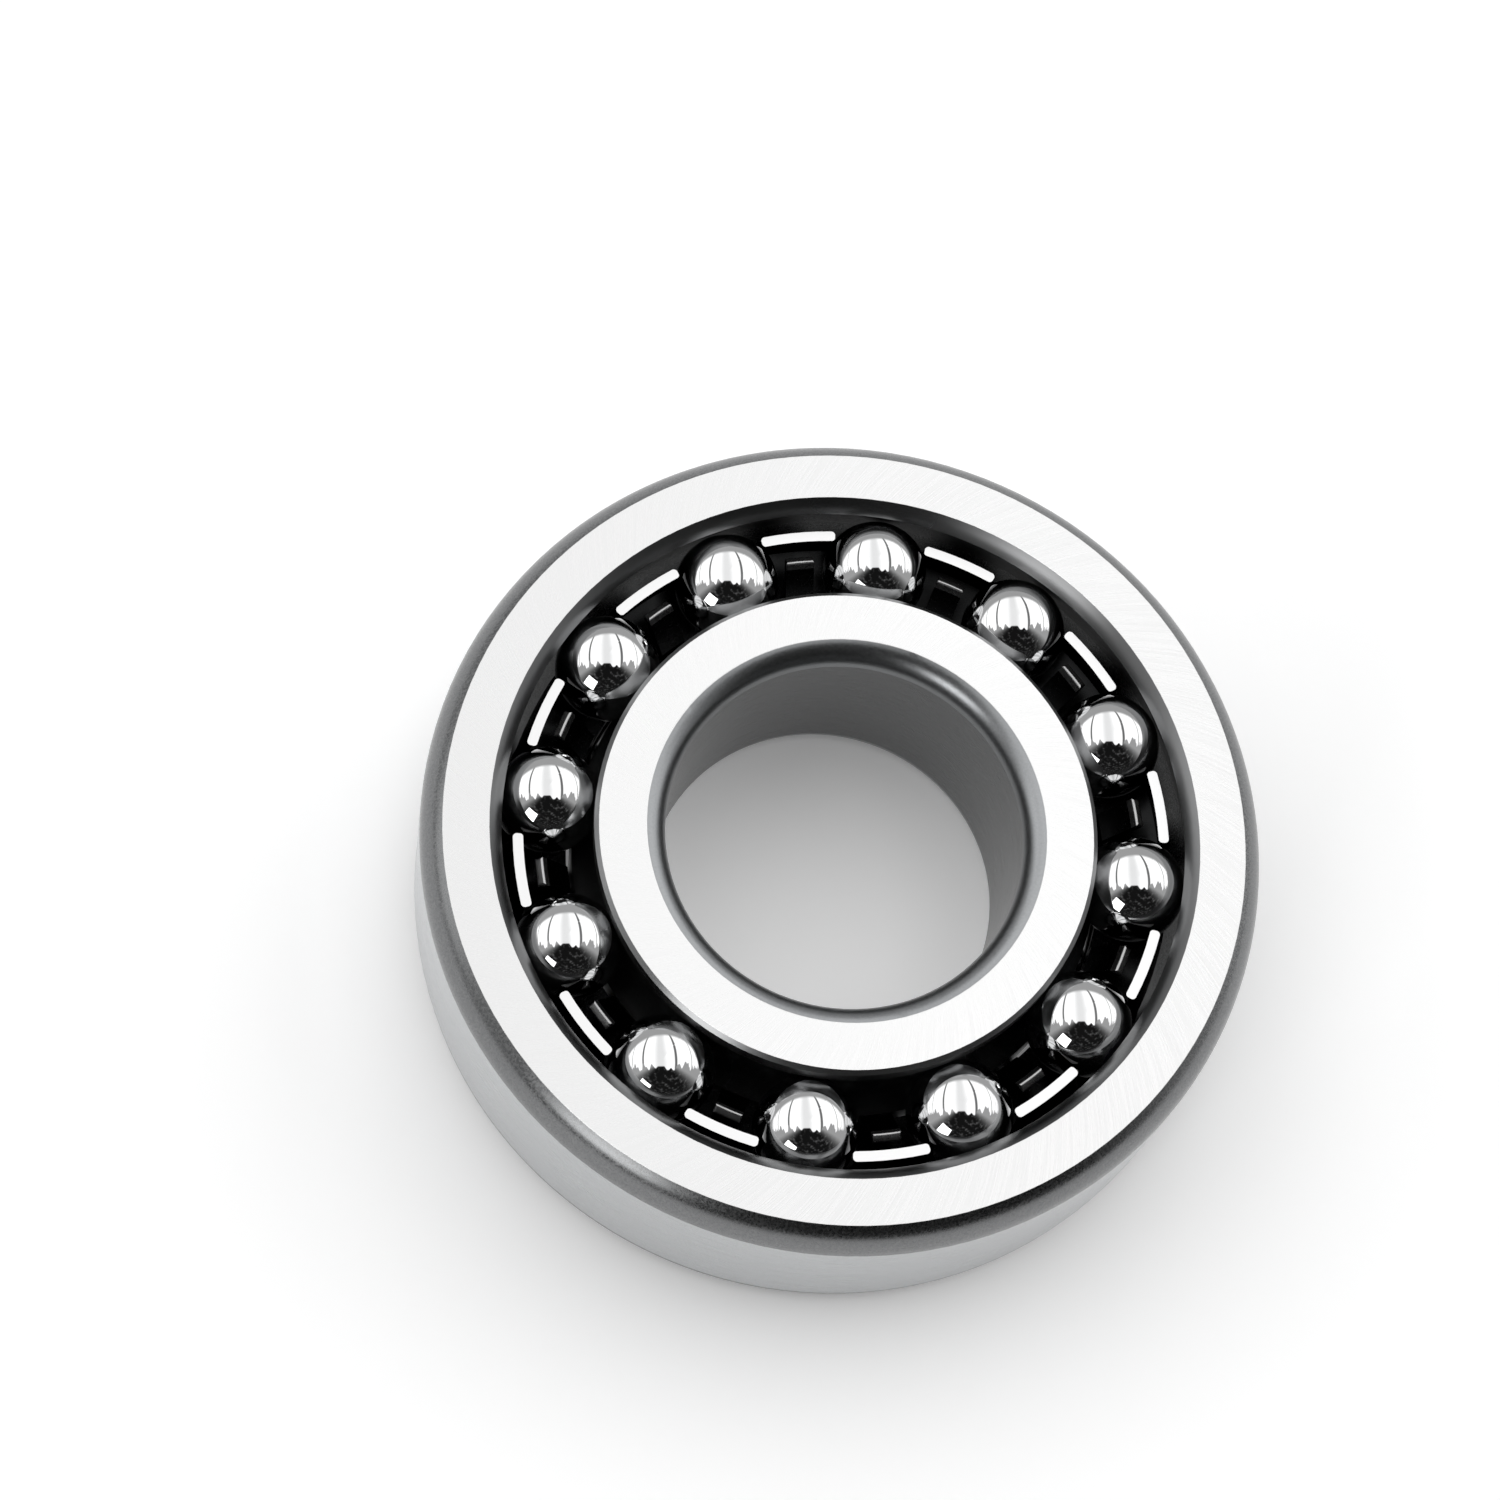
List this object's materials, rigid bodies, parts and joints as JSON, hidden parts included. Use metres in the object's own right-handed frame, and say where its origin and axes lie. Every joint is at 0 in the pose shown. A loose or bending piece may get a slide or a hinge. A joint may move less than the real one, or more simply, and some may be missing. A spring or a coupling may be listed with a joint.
{
  "type": "self-aligning ball bearing",
  "caption": "Open double-row self-aligning ball bearing with a spherical outer raceway, a grooved inner ring and a pressed steel cage.",
  "frame": {"origin": "centre of the bearing: on the bearing axis, half way between the two side faces; it is also the point the inner ring swivels about", "axes": "+Z along the bearing axis towards the front row of balls; +X through ball_front_01"},
  "size_m": [0.047, 0.047, 0.014],
  "materials": {
    "ring_steel": "ground satin hardened bearing steel, finely ground faces and outside, polished raceways",
    "ball_steel": "mirror polished hardened bearing steel",
    "cage_steel": "pressed sheet steel, dark and glossy, with bright cut edges"
  },
  "bodies": {
    "outer_ring": {"outer_ring": "ring_steel"},
    "ball_front_01": {"ball_front_01": "ball_steel"},
    "cage": {"cage": "cage_steel"},
    "inner_ring": {"inner_ring": "ring_steel"},
    "ball_front_02": {"ball_front_02": "ball_steel"},
    "ball_front_03": {"ball_front_03": "ball_steel"},
    "ball_front_04": {"ball_front_04": "ball_steel"},
    "ball_front_05": {"ball_front_05": "ball_steel"},
    "ball_front_06": {"ball_front_06": "ball_steel"},
    "ball_front_07": {"ball_front_07": "ball_steel"},
    "ball_front_08": {"ball_front_08": "ball_steel"},
    "ball_front_09": {"ball_front_09": "ball_steel"},
    "ball_front_10": {"ball_front_10": "ball_steel"},
    "ball_front_11": {"ball_front_11": "ball_steel"},
    "ball_front_12": {"ball_front_12": "ball_steel"},
    "ball_rear_01": {"ball_rear_01": "ball_steel"},
    "ball_rear_02": {"ball_rear_02": "ball_steel"},
    "ball_rear_03": {"ball_rear_03": "ball_steel"},
    "ball_rear_04": {"ball_rear_04": "ball_steel"},
    "ball_rear_05": {"ball_rear_05": "ball_steel"},
    "ball_rear_06": {"ball_rear_06": "ball_steel"},
    "ball_rear_07": {"ball_rear_07": "ball_steel"},
    "ball_rear_08": {"ball_rear_08": "ball_steel"},
    "ball_rear_09": {"ball_rear_09": "ball_steel"},
    "ball_rear_10": {"ball_rear_10": "ball_steel"},
    "ball_rear_11": {"ball_rear_11": "ball_steel"},
    "ball_rear_12": {"ball_rear_12": "ball_steel"}
  },
  "joints": [
    {"name": "cage_orbit", "type": "hinge", "parent": "outer_ring", "child": "ball_front_01", "pos_m": [0, 0, 0], "axis": [0, 0, 1], "continuous": true},
    {"name": "swivel", "type": "hinge", "parent": "ball_front_01", "child": "cage", "pos_m": [0, 0, 0], "axis": [0.9726, 0, 0.2324], "range_deg": [-2.5, 2.5]},
    {"name": "inner_spin", "type": "hinge", "parent": "cage", "child": "inner_ring", "pos_m": [0, 0, 0], "axis": [0, 0, 1], "continuous": true},
    {"name": "ball_front_02_spin", "type": "hinge", "parent": "cage", "child": "ball_front_02", "pos_m": [0.01432, 0.00827, 0.00395], "axis": [-0.2012, -0.1162, 0.9726], "continuous": true},
    {"name": "ball_front_03_spin", "type": "hinge", "parent": "cage", "child": "ball_front_03", "pos_m": [0.00827, 0.01432, 0.00395], "axis": [-0.1162, -0.2012, 0.9726], "continuous": true},
    {"name": "ball_front_04_spin", "type": "hinge", "parent": "cage", "child": "ball_front_04", "pos_m": [0, 0.01653, 0.00395], "axis": [0, -0.2324, 0.9726], "continuous": true},
    {"name": "ball_front_05_spin", "type": "hinge", "parent": "cage", "child": "ball_front_05", "pos_m": [-0.00827, 0.01432, 0.00395], "axis": [0.1162, -0.2012, 0.9726], "continuous": true},
    {"name": "ball_front_06_spin", "type": "hinge", "parent": "cage", "child": "ball_front_06", "pos_m": [-0.01432, 0.00827, 0.00395], "axis": [0.2012, -0.1162, 0.9726], "continuous": true},
    {"name": "ball_front_07_spin", "type": "hinge", "parent": "cage", "child": "ball_front_07", "pos_m": [-0.01653, 0, 0.00395], "axis": [0.2324, 0, 0.9726], "continuous": true},
    {"name": "ball_front_08_spin", "type": "hinge", "parent": "cage", "child": "ball_front_08", "pos_m": [-0.01432, -0.00827, 0.00395], "axis": [0.2012, 0.1162, 0.9726], "continuous": true},
    {"name": "ball_front_09_spin", "type": "hinge", "parent": "cage", "child": "ball_front_09", "pos_m": [-0.00827, -0.01432, 0.00395], "axis": [0.1162, 0.2012, 0.9726], "continuous": true},
    {"name": "ball_front_10_spin", "type": "hinge", "parent": "cage", "child": "ball_front_10", "pos_m": [0, -0.01653, 0.00395], "axis": [0, 0.2324, 0.9726], "continuous": true},
    {"name": "ball_front_11_spin", "type": "hinge", "parent": "cage", "child": "ball_front_11", "pos_m": [0.00827, -0.01432, 0.00395], "axis": [-0.1162, 0.2012, 0.9726], "continuous": true},
    {"name": "ball_front_12_spin", "type": "hinge", "parent": "cage", "child": "ball_front_12", "pos_m": [0.01432, -0.00827, 0.00395], "axis": [-0.2012, 0.1162, 0.9726], "continuous": true},
    {"name": "ball_rear_01_spin", "type": "hinge", "parent": "cage", "child": "ball_rear_01", "pos_m": [0.01597, 0.00428, -0.00395], "axis": [0.2244, 0.0601, 0.9726], "continuous": true},
    {"name": "ball_rear_02_spin", "type": "hinge", "parent": "cage", "child": "ball_rear_02", "pos_m": [0.01169, 0.01169, -0.00395], "axis": [0.1643, 0.1643, 0.9726], "continuous": true},
    {"name": "ball_rear_03_spin", "type": "hinge", "parent": "cage", "child": "ball_rear_03", "pos_m": [0.00428, 0.01597, -0.00395], "axis": [0.0601, 0.2244, 0.9726], "continuous": true},
    {"name": "ball_rear_04_spin", "type": "hinge", "parent": "cage", "child": "ball_rear_04", "pos_m": [-0.00428, 0.01597, -0.00395], "axis": [-0.0601, 0.2244, 0.9726], "continuous": true},
    {"name": "ball_rear_05_spin", "type": "hinge", "parent": "cage", "child": "ball_rear_05", "pos_m": [-0.01169, 0.01169, -0.00395], "axis": [-0.1643, 0.1643, 0.9726], "continuous": true},
    {"name": "ball_rear_06_spin", "type": "hinge", "parent": "cage", "child": "ball_rear_06", "pos_m": [-0.01597, 0.00428, -0.00395], "axis": [-0.2244, 0.0601, 0.9726], "continuous": true},
    {"name": "ball_rear_07_spin", "type": "hinge", "parent": "cage", "child": "ball_rear_07", "pos_m": [-0.01597, -0.00428, -0.00395], "axis": [-0.2244, -0.0601, 0.9726], "continuous": true},
    {"name": "ball_rear_08_spin", "type": "hinge", "parent": "cage", "child": "ball_rear_08", "pos_m": [-0.01169, -0.01169, -0.00395], "axis": [-0.1643, -0.1643, 0.9726], "continuous": true},
    {"name": "ball_rear_09_spin", "type": "hinge", "parent": "cage", "child": "ball_rear_09", "pos_m": [-0.00428, -0.01597, -0.00395], "axis": [-0.0601, -0.2244, 0.9726], "continuous": true},
    {"name": "ball_rear_10_spin", "type": "hinge", "parent": "cage", "child": "ball_rear_10", "pos_m": [0.00428, -0.01597, -0.00395], "axis": [0.0601, -0.2244, 0.9726], "continuous": true},
    {"name": "ball_rear_11_spin", "type": "hinge", "parent": "cage", "child": "ball_rear_11", "pos_m": [0.01169, -0.01169, -0.00395], "axis": [0.1643, -0.1643, 0.9726], "continuous": true},
    {"name": "ball_rear_12_spin", "type": "hinge", "parent": "cage", "child": "ball_rear_12", "pos_m": [0.01597, -0.00428, -0.00395], "axis": [0.2244, -0.0601, 0.9726], "continuous": true}
  ],
  "couplings": [
    {"joint": "inner_spin", "follows": "cage_orbit", "ratio": 1.4242},
    {"joint": "ball_front_02_spin", "follows": "cage_orbit", "ratio": -6.5305},
    {"joint": "ball_front_03_spin", "follows": "cage_orbit", "ratio": -6.5305},
    {"joint": "ball_front_04_spin", "follows": "cage_orbit", "ratio": -6.5305},
    {"joint": "ball_front_05_spin", "follows": "cage_orbit", "ratio": -6.5305},
    {"joint": "ball_front_06_spin", "follows": "cage_orbit", "ratio": -6.5305},
    {"joint": "ball_front_07_spin", "follows": "cage_orbit", "ratio": -6.5305},
    {"joint": "ball_front_08_spin", "follows": "cage_orbit", "ratio": -6.5305},
    {"joint": "ball_front_09_spin", "follows": "cage_orbit", "ratio": -6.5305},
    {"joint": "ball_front_10_spin", "follows": "cage_orbit", "ratio": -6.5305},
    {"joint": "ball_front_11_spin", "follows": "cage_orbit", "ratio": -6.5305},
    {"joint": "ball_front_12_spin", "follows": "cage_orbit", "ratio": -6.5305},
    {"joint": "ball_rear_01_spin", "follows": "cage_orbit", "ratio": -6.5305},
    {"joint": "ball_rear_02_spin", "follows": "cage_orbit", "ratio": -6.5305},
    {"joint": "ball_rear_03_spin", "follows": "cage_orbit", "ratio": -6.5305},
    {"joint": "ball_rear_04_spin", "follows": "cage_orbit", "ratio": -6.5305},
    {"joint": "ball_rear_05_spin", "follows": "cage_orbit", "ratio": -6.5305},
    {"joint": "ball_rear_06_spin", "follows": "cage_orbit", "ratio": -6.5305},
    {"joint": "ball_rear_07_spin", "follows": "cage_orbit", "ratio": -6.5305},
    {"joint": "ball_rear_08_spin", "follows": "cage_orbit", "ratio": -6.5305},
    {"joint": "ball_rear_09_spin", "follows": "cage_orbit", "ratio": -6.5305},
    {"joint": "ball_rear_10_spin", "follows": "cage_orbit", "ratio": -6.5305},
    {"joint": "ball_rear_11_spin", "follows": "cage_orbit", "ratio": -6.5305},
    {"joint": "ball_rear_12_spin", "follows": "cage_orbit", "ratio": -6.5305}
  ]
}
